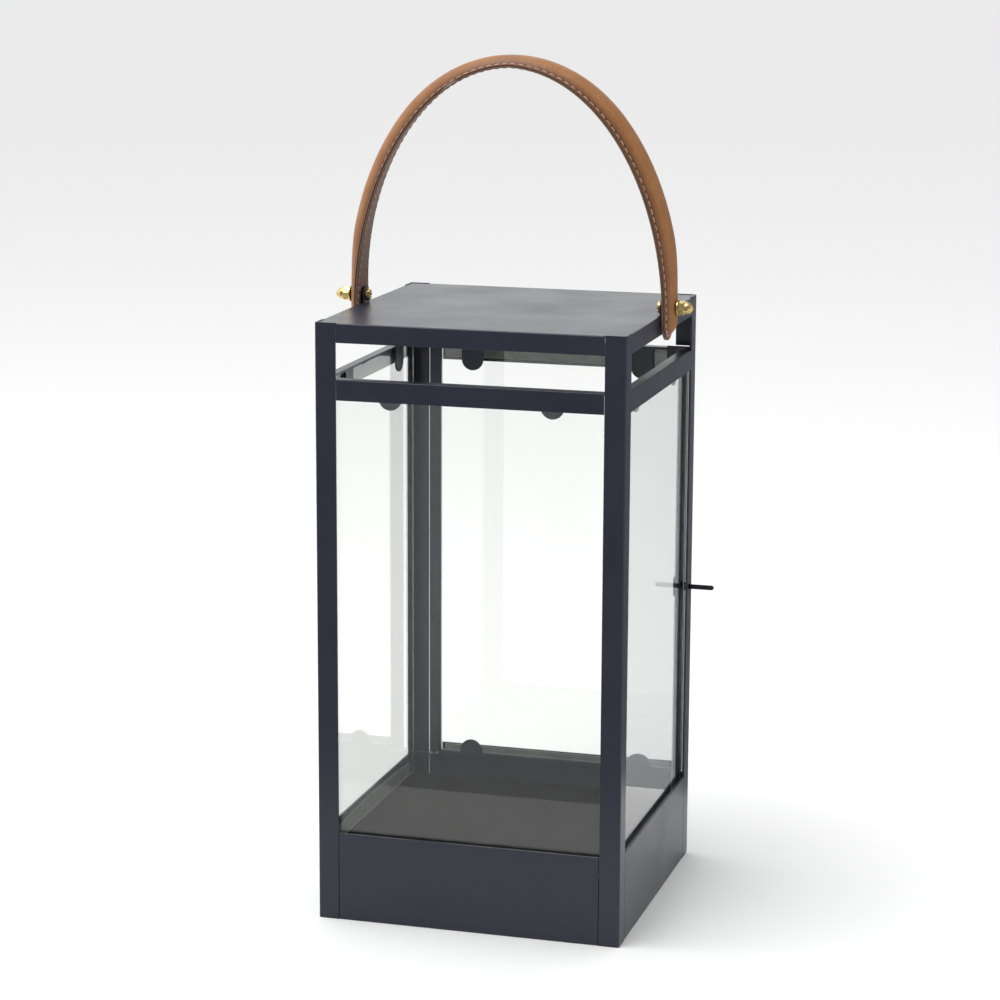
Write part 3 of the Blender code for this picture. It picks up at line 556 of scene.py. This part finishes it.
def makePivot(name, side):
    nutLow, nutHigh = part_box("cap_nut_" + name)
    near, tip = sorted((abs(nutLow.x), abs(nutHigh.x)))
    flats = min(nutHigh.z - nutLow.z, nutHigh.y - nutLow.y)
    neck = flats / 2 * fastener["neck"]
    hexEnd = near + fastener["hexHeight"]
    bore = fastener["bore"]
    boreEnd = tip - fastener["domeWall"]

    # acorn cap: a domed body with a hollow for the thread
    domeBase = hexEnd + fastener["shoulder"]
    turns = [math.radians(a) for a in range(0, 91, 6)]
    dome = [(neck * math.sin(t), domeBase + (tip - domeBase) * math.cos(t)) for t in turns]
    profile = dome + [(neck, hexEnd - 0.2 * mm), (neck, near), (bore, near), (bore, boreEnd), (0, boreEnd)]
    cap = turnPiece("capNut_" + name, profile, 48)
    bpy.ops.object.select_all(action="DESELECT")
    bpy.ops.mesh.primitive_cylinder_add(
        vertices=6, radius=flats / math.sqrt(3), depth=hexEnd - near,
        location=((near + hexEnd) / 2, 0, 0), rotation=(0, math.pi / 2, 0),
    )
    hexagon = bpy.context.active_object
    settle(hexagon)
    chamfer = turnPiece("chamfer", [
        (0, hexEnd + mm), (flats / 2 - 0.9 * mm, hexEnd + mm), (flats / 2 + 0.02 * mm, hexEnd),
        (flats / 2 + 0.9 * mm, hexEnd - 0.55 * mm), (flats / 2 + 0.9 * mm, near + 0.4 * mm),
        (flats / 2, near), (flats / 2, near - 0.2 * mm), (0, near - 0.2 * mm),
    ], 48)
    joinShape(hexagon, chamfer, "INTERSECT")
    wide = bore + 0.05 * mm
    profile = [(0, boreEnd - mm), (wide, boreEnd - mm), (wide, near - mm), (0, near - mm)]
    joinShape(hexagon, turnPiece("drill", profile, 48), "DIFFERENCE")
    joinShape(cap, hexagon, "UNION")
    placeOnPivot(cap, side, pivotZ, math.radians(fastener["capTurn"]))
    breakEdges(cap, fastener["capEdge"])
    finishPiece(cap, "lantern", brassMetal, ["cap_nut_" + name])

    # slotted screw from inside the ear
    low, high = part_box("pivot_screw_" + name)
    headStart, end = sorted((abs(low.x), abs(high.x)))
    headRadius = (high.z - low.z) / 2
    headFace = headStart + fastener["headHeight"]
    crest = fastener["shank"] - 0.02 * mm
    threads = []
    for i in range(fastener["threads"]):
        base = end - 0.5 * mm - i * fastener["threadPitch"]
        threads += [(crest, base), (crest - fastener["threadDepth"], base - fastener["threadPitch"] / 2)]
    shank = fastener["shank"]
    neckStart = threads[-1][1] - 0.3 * mm
    profile = [(0, end), (shank - 0.5 * mm, end)] + threads + [(shank, neckStart), (shank, headFace)]
    profile += [(headRadius, headFace)] + roundedStep(headRadius, headStart, fastener["headRound"], -1)
    profile.append((0, headStart))
    screw = turnPiece("pivotScrew_" + name, profile, 40)
    slotCut = addBlock(
        (headStart - mm, -headRadius - mm, -fastener["slotWidth"] / 2),
        (headStart + fastener["slotDepth"], headRadius + mm, fastener["slotWidth"] / 2),
    )
    joinShape(screw, slotCut, "DIFFERENCE")
    placeOnPivot(screw, side, pivotZ, math.radians(fastener["slotTurn"]))
    smoothPiece(screw, 35)
    finishPiece(screw, "lantern", brassMetal, ["pivot_screw_" + name])

    for kind, material, slotName in (("outer", brassMetal, "brass"), ("spacer", blackSteel, "dark_steel")):
        low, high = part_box(kind + "_washer_" + name)
        inner, outer = sorted((abs(low.x), abs(high.x)))
        radius = (high.z - low.z) / 2
        profile = roundedStep(radius, outer, 0.25 * mm, 1) + roundedStep(radius, inner, 0.15 * mm, -1)
        profile += [(wide, inner), (wide, outer)]
        washer = turnPiece(kind + "Washer_" + name, profile, 48, closed=True)
        placeOnPivot(washer, side, pivotZ)
        smoothPiece(washer, 40)
        finishPiece(washer, "lantern", material, [kind + "_washer_" + name])


makePivot("right", 1)
makePivot("left", -1)

# the sliding bolt and its bush, along X
low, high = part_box("latch_bolt")
boltAxis = Vector((0, (low.y + high.y) / 2, (low.z + high.z) / 2))
boltRadius = (high.z - low.z) / 2
turns = [math.radians(a) for a in range(0, 91, 9)]
profile = [(boltRadius * math.sin(t), high.x - boltRadius + boltRadius * math.cos(t)) for t in turns]
profile += [(boltRadius, low.x + 0.8 * mm), (boltRadius - 0.5 * mm, low.x), (0, low.x)]
bolt = turnPiece("slidingBolt", profile, 40)
bolt.location = boltAxis
settle(bolt)
smoothPiece(bolt, 40)
finishPiece(bolt, "bolt", blackSteel, ["latch_bolt"])

low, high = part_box("latch_bush")
bushRadius = (high.z - low.z) / 2
inner = boltRadius + fastener["boltRoom"]
profile = roundedStep(bushRadius, high.x, 0.2 * mm, 1) + roundedStep(bushRadius, low.x, 0.4 * mm, -1)
profile += [(inner, low.x), (inner, high.x)]
bush = turnPiece("boltBush", profile, 40, closed=True)
bush.location = boltAxis
settle(bush)
smoothPiece(bush, 40)
finishPiece(bush, "lantern", blackSteel, ["latch_bush"])

for nodeName in ("hinge_pin_top", "hinge_pin_bottom"):
    pin = workCopy(nodeName, nodeName + "_rivet")
    breakEdges(pin, fastener["pinEdge"])
    finishPiece(pin, "lantern", blackSteel, [nodeName])
print("turned pieces made")


# the handle is cut flat, padded, stitched, then bent over the arch
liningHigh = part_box("handle_lining")[1]
coverLow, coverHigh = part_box("handle_cover")
strap = {
    "lining": 1.0 * mm, "seam": 0.2 * mm, "welt": 0.95 * mm,
    "pressed": 5.1 * mm, "arm": 6.6 * mm, "top": 5.2 * mm, "armStart": 0.2, "armEnd": 0.62, "pull": 0.28 * mm,
    "lean": 9.0, "stitchInset": 2.3 * mm, "stitchPitch": 4.4 * mm, "stitchLength": 3.5 * mm,
    "thread": 0.42 * mm, "stitchSeat": 0.8 * mm, "step": 0.74 * mm, "endSteps": 28, "boreRadius": 2.25 * mm,
}
strapRadius = (coverHigh.y - coverLow.y) / 2
strapInner = liningHigh.x - strap["lining"]
strapRise = liningHigh.z - strap["lining"] - pivotZ
tailStraight = pivotZ - coverLow.z - strapRadius


def archTable(count=720):
    # distance, x, z and outward normal along the inner line from right pivot to left
    rows = []
    distance = 0.0
    last = None
    for i in range(count + 1):
        turn = math.pi * i / count
        x, z = strapInner * math.cos(turn), strapRise * math.sin(turn)
        if last:
            distance += math.hypot(x - last[0], z - last[1])
        last = (x, z)
        nx, nz = math.cos(turn) / strapInner, math.sin(turn) / strapRise
        length = math.hypot(nx, nz)
        rows.append((distance, x, z, nx / length, nz / length))
    return rows


archRows = archTable()
archLength = archRows[-1][0]
strapLength = archLength + 2 * tailStraight


def onArch(along, across, lift):
    # a point of the flat strap, lifted from its inner face, carried onto the arch
    travel = along - tailStraight
    if travel <= 0:
        return Vector((strapInner + lift, across, pivotZ + travel))
    if travel >= archLength:
        return Vector((-strapInner - lift, across, pivotZ - (travel - archLength)))
    # the strap's own set turns its outer face a little to the front on the way up each arm
    climb = min(travel, archLength - travel) / archLength
    lean = math.radians(strap["lean"]) * math.sin(math.tau * climb) ** 0.8
    lift, across = lift + across * math.sin(lean), across * math.cos(lean) - lift * math.sin(lean)
    spot = travel / archLength * (len(archRows) - 1)
    index = min(int(spot), len(archRows) - 2)
    while archRows[index][0] > travel:
        index -= 1
    while archRows[index + 1][0] < travel:
        index += 1
    a, b = archRows[index], archRows[index + 1]
    f = (travel - a[0]) / (b[0] - a[0])
    x, z, nx, nz = (a[k] + (b[k] - a[k]) * f for k in range(1, 5))
    return Vector((x + lift * nx, across, pivotZ + z + lift * nz))


def ringSpots(inset):
    # points round the strap's outline, moved in by inset, with their distance along the stitch line
    radius = max(strapRadius - inset, 0.0)
    stitchRadius = strapRadius - strap["stitchInset"]
    sideSteps = round(strapLength / strap["step"])
    endSteps = strap["endSteps"]
    endLength = math.pi * stitchRadius
    spots = []
    for i in range(sideSteps):
        s = strapLength * i / sideSteps
        spots.append((s, radius, s))
    for i in range(endSteps):
        turn = math.pi * i / endSteps
        reached = strapLength + endLength * i / endSteps
        spots.append((strapLength + radius * math.sin(turn), radius * math.cos(turn), reached))
    for i in range(sideSteps):
        s = strapLength * i / sideSteps
        spots.append((strapLength - s, -radius, strapLength + endLength + s))
    for i in range(endSteps):
        turn = math.pi * i / endSteps
        reached = 2 * strapLength + endLength * (1 + i / endSteps)
        spots.append((-radius * math.sin(turn), -radius * math.cos(turn), reached))
    return spots


stitchLine = 2 * strapLength + 2 * math.pi * (strapRadius - strap["stitchInset"])
stitchCount = round(stitchLine / strap["stitchPitch"])
pitch = stitchLine / stitchCount


def eased(value):
    value = min(max(value, 0.0), 1.0)
    return value * value * (3 - 2 * value)


def coverHeight(along):
    # pressed thin by the washers, full on the arms, thinner over the hand
    climb = min(along - tailStraight, strapLength - tailStraight - along) / (archLength / 2)
    if climb < strap["armEnd"]:
        filled = eased((climb - 0.03) / strap["armStart"])
        return strap["pressed"] + (strap["arm"] - strap["pressed"]) * filled
    thinned = eased((climb - strap["armEnd"]) / (1 - strap["armEnd"]))
    return strap["arm"] + (strap["top"] - strap["arm"]) * thinned


def holePull(distance):
    # 1 at a needle hole and 0 midway between two
    return 0.5 + 0.5 * math.cos(math.tau * distance / pitch)


def strapLayer(name, baseLift, outerRows, innerRows, padded):
    # rows of (inset, height, share of the padding) on each face, both from the edge to the middle
    rows = [(*row, 1) for row in outerRows[::-1]] + [(*row, -1) for row in innerRows]
    vertices, insets, grooveShades = [], [], []
    count = len(ringSpots(0))
    for inset, height, share, face in rows:
        for along, across, distance in ringSpots(inset):
            lift = height
            pull = math.exp(-((inset - strap["stitchInset"]) / (0.55 * mm)) ** 2)
            if padded and face > 0:
                lift += share * (coverHeight(along) - height)
                shoulder = math.exp(-((inset - 4.2 * mm) / (1.1 * mm)) ** 2)
                fade = 1 - (inset / strapRadius) ** 2
                lift += 0.07 * mm * fade * shoulder * math.cos(math.tau * distance / pitch + math.pi)
                lift += 0.05 * mm * fade * math.sin(distance * 91) * math.sin(inset * 700)
            lift -= face * strap["pull"] * pull * holePull(distance)
            vertices.append(onArch(along, across, baseLift + lift))
            insets.append(inset / mm)
            # the mask for the painted shade in the stitch groove
            grooveShades.append(min(1.0, pull * (0.45 + 0.55 * holePull(distance))))
    faces = []
    for row in range(len(rows) - 1):
        for i in range(count):
            j = (i + 1) % count
            faces.append((row * count + i, row * count + j, (row + 1) * count + j, (row + 1) * count + i))
    mesh = bpy.data.meshes.new(name)
    mesh.from_pydata(vertices, [], faces)
    for label, values in (("edgeDistance", insets), ("grooveShade", grooveShades)):
        attribute = mesh.attributes.new(label, "FLOAT", "POINT")
        attribute.data.foreach_set("value", values)
    piece = bpy.data.objects.new(name, mesh)
    bpy.context.scene.collection.objects.link(piece)
    editMesh(
        piece,
        (bpy.ops.mesh.select_all, {"action": "SELECT"}),
        (bpy.ops.mesh.remove_doubles, {"threshold": 0.004 * mm}),
        (bpy.ops.mesh.normals_make_consistent, {"inside": False}),
    )
    faceOutwards(piece)
    reach = 2 * strapInner
    bore = strap["boreRadius"]
    drill = turnPiece("drill", [(0, reach), (bore, reach), (bore, -reach), (0, -reach)], 40)
    drill.location = (0, 0, pivotZ)
    settle(drill)
    joinShape(piece, drill, "DIFFERENCE")
    smoothPiece(piece, 60)
    return piece


# the strap's section, as (distance in from the edge, height) in millimetres
# the padding's rows have a share of its full height instead
weltHeight = strap["welt"] / mm
halfWidth = strapRadius / mm
coverOuter = [
    (0, 0.4), (0.1, 0.62), (0.3, 0.8), (0.7, 0.9), (1.2, 0.94),
    (1.75, 0.92), (2.05, 0.84), (2.3, 0.78), (2.55, 0.86),
]
padding = [
    (2.8, 0.07), (3.2, 0.18), (3.8, 0.33), (4.6, 0.5), (5.6, 0.68),
    (6.8, 0.83), (8.2, 0.94), (9.4, 0.99), (halfWidth, 1.0),
]
coverOuter += [(inset, weltHeight, share) for inset, share in padding]
coverInner = [(0.05, 0.12), (0.3, 0.0), (2.0, 0.0), (5.0, 0.0), (halfWidth, 0.0)]
liningOuter = [(0, 0.72), (0.1, 0.92), (0.35, 1.0), (2.0, 1.0), (5.0, 1.0), (halfWidth, 1.0)]
liningInner = [
    (0.0, 0.3), (0.12, 0.1), (0.4, 0.02), (1.2, 0.0), (2.0, 0.02),
    (2.5, 0.06), (3.0, 0.02), (5.0, 0.0), (halfWidth, 0.0),
]


def inMillimetres(rows):
    return [(row[0] * mm, row[1] * mm, row[2] if len(row) > 2 else 0.0) for row in rows]


lining = strapLayer("strapLining", 0.0, inMillimetres(liningOuter), inMillimetres(liningInner), False)
finishPiece(lining, "handle", liningLeather, ["handle_lining"])
coverBase = strap["lining"] + strap["seam"]
cover = strapLayer("strapCover", coverBase, inMillimetres(coverOuter), inMillimetres(coverInner), True)
finishPiece(cover, "handle", strapLeather, ["handle_cover"])


def stitchSpot(distance):
    # along and across of a point of the stitch line
    radius = strapRadius - strap["stitchInset"]
    endLength = math.pi * radius
    distance %= stitchLine
    if distance < strapLength:
        return distance, radius
    distance -= strapLength
    if distance < endLength:
        return strapLength + radius * math.sin(distance / radius), radius * math.cos(distance / radius)
    distance -= endLength
    if distance < strapLength:
        return strapLength - distance, -radius
    distance -= strapLength
    return -radius * math.sin(distance / radius), -radius * math.cos(distance / radius)


def makeStitches(name, surface, face):
    # one thread stitch between each pair of needle holes, diving into the leather at both ends
    rings, sides = 8, 7
    vertices, faces = [], []
    for k in range(stitchCount):
        start = len(vertices)
        lean = 0.12 * mm
        for i in range(rings):
            t = i / (rings - 1)
            distance = (k + 0.5) * pitch + (t - 0.5) * strap["stitchLength"]
            along, across = stitchSpot(distance)
            before, after = stitchSpot(distance - 0.1 * mm), stitchSpot(distance + 0.1 * mm)
            heading = Vector((after[0] - before[0], after[1] - before[1])).normalized()
            sideways = Vector((-heading.y, heading.x))
            arch = 1 - (2 * t - 1) ** 4
            swell = strap["thread"] * (0.62 + 0.38 * math.sin(math.pi * t) ** 0.5)
            height = surface + face * (arch * 0.42 * mm - 0.34 * mm)
            for j in range(sides):
                turn = math.tau * j / sides + t * 2.0
                shift = swell * math.cos(turn) + lean * (t - 0.5)
                vertices.append(onArch(
                    along + sideways.x * shift, across + sideways.y * shift,
                    height + swell * 0.8 * math.sin(turn),
                ))
        for i in range(rings - 1):
            for j in range(sides):
                n = (j + 1) % sides
                ring, nextRing = start + i * sides, start + (i + 1) * sides
                faces.append((ring + j, ring + n, nextRing + n, nextRing + j))
        faces.append(tuple(start + j for j in range(sides))[::-1])
        faces.append(tuple(start + (rings - 1) * sides + j for j in range(sides)))
    mesh = bpy.data.meshes.new(name)
    mesh.from_pydata(vertices, [], faces)
    piece = bpy.data.objects.new(name, mesh)
    bpy.context.scene.collection.objects.link(piece)
    editMesh(
        piece,
        (bpy.ops.mesh.select_all, {"action": "SELECT"}),
        (bpy.ops.mesh.normals_make_consistent, {"inside": False}),
    )
    smoothPiece(piece, 60)
    finishPiece(piece, "handle", seamThread)


makeStitches("outerStitching", coverBase + strap["stitchSeat"], 1)
makeStitches("innerStitching", 0.0, -1)
print("handle made,", stitchCount, "stitches a side")


bpy.ops.object.select_all(action="DESELECT")
bpy.ops.mesh.primitive_plane_add(size=80)
floor = bpy.context.active_object
floor.name = "studioFloor"
paperLook = {"Roughness": 0.9, "Base Color": linearColour("#f9f9f9"), "Specular IOR Level": 0.1}
floor.data.materials.append(startMaterial("matt paper", paperLook)[0])

# grey cards in front and at the back right keep the steel from mirroring the pale floor
felt = startMaterial("grey felt", {"Roughness": 1.0, "Base Color": linearColour("#8a8a90")})[0]


def addCard(name, place, size):
    bpy.ops.object.select_all(action="DESELECT")
    bpy.ops.mesh.primitive_plane_add(size=1, location=place, rotation=(math.pi / 2, 0, 0))
    card = bpy.context.active_object
    card.name = name
    card.scale = (*size, 1)
    card.data.materials.append(felt)
    for seenBy in ("camera", "diffuse", "transmission", "shadow", "volume_scatter"):
        setattr(card, "visible_" + seenBy, False)  # only reflections see it


addCard("cardBackRight", (0.4, 0.2, 0.45), (0.6, 0.9))
addCard("cardFront", (-0.1, -0.32, 0.25), (0.7, 0.5))

# the room is darkest in front to the right, and bright on the left, above and behind
world = bpy.data.worlds.new("studio")
bpy.context.scene.world = world
world.use_nodes = True
tree = world.node_tree
room = tree.nodes["Background"]
room.inputs["Color"].default_value = (1, 1, 1, 1)
heading = addNode(tree, "TexCoord").outputs["Generated"]
towards = addNode(tree, "VectorMath", {"operation": "DOT_PRODUCT", 1: (0.6, -0.78, 0.1)}, {0: heading})
tree.links.new(rangeOf(tree, towards.outputs["Value"], -0.1, 0.8, 1.15, 0.28), room.inputs["Strength"])
bpy.context.scene.view_settings.view_transform = "Standard"


def addSoftLight(name, place, aim, size, power):
    data = bpy.data.lights.new(name, "AREA")
    data.shape = "RECTANGLE"
    data.size, data.size_y = size
    data.energy = power
    lamp = bpy.data.objects.new(name, data)
    bpy.context.scene.collection.objects.link(lamp)
    lamp.location = place
    lamp.rotation_euler = (Vector(aim) - Vector(place)).to_track_quat("-Z", "Y").to_euler()


addSoftLight("topLight", (-0.5, -0.6, 2.2), (0, 0, 0.3), (1.6, 1.2), 26)
addSoftLight("sideLight", (2.0, -0.4, 1.2), (0, 0, 0.3), (1.2, 1.2), 2)

viewpoint = {
    "place": (0.436394, -1.547464, 0.558860),
    "azimuth": 15.97, "elevation": 11.78, "roll": 0.26, "lens": 106.45,
}
cameraData = bpy.data.cameras.new("camera")
cameraData.lens = viewpoint["lens"]
cameraData.sensor_width = 36
camera = bpy.data.objects.new("camera", cameraData)
bpy.context.scene.collection.objects.link(camera)
azimuth, elevation, roll = (math.radians(viewpoint[k]) for k in ("azimuth", "elevation", "roll"))
back = Vector((
    math.sin(azimuth) * math.cos(elevation), -math.cos(azimuth) * math.cos(elevation), math.sin(elevation),
))
level = (-back).cross(Vector((0, 0, 1))).normalized()
up = level.cross(-back)
right = math.cos(roll) * level + math.sin(roll) * up
top = -math.sin(roll) * level + math.cos(roll) * up
turned = Matrix((right, top, back)).transposed().to_4x4()
camera.matrix_world = Matrix.Translation(viewpoint["place"]) @ turned
bpy.context.scene.camera = camera

print("scene made")
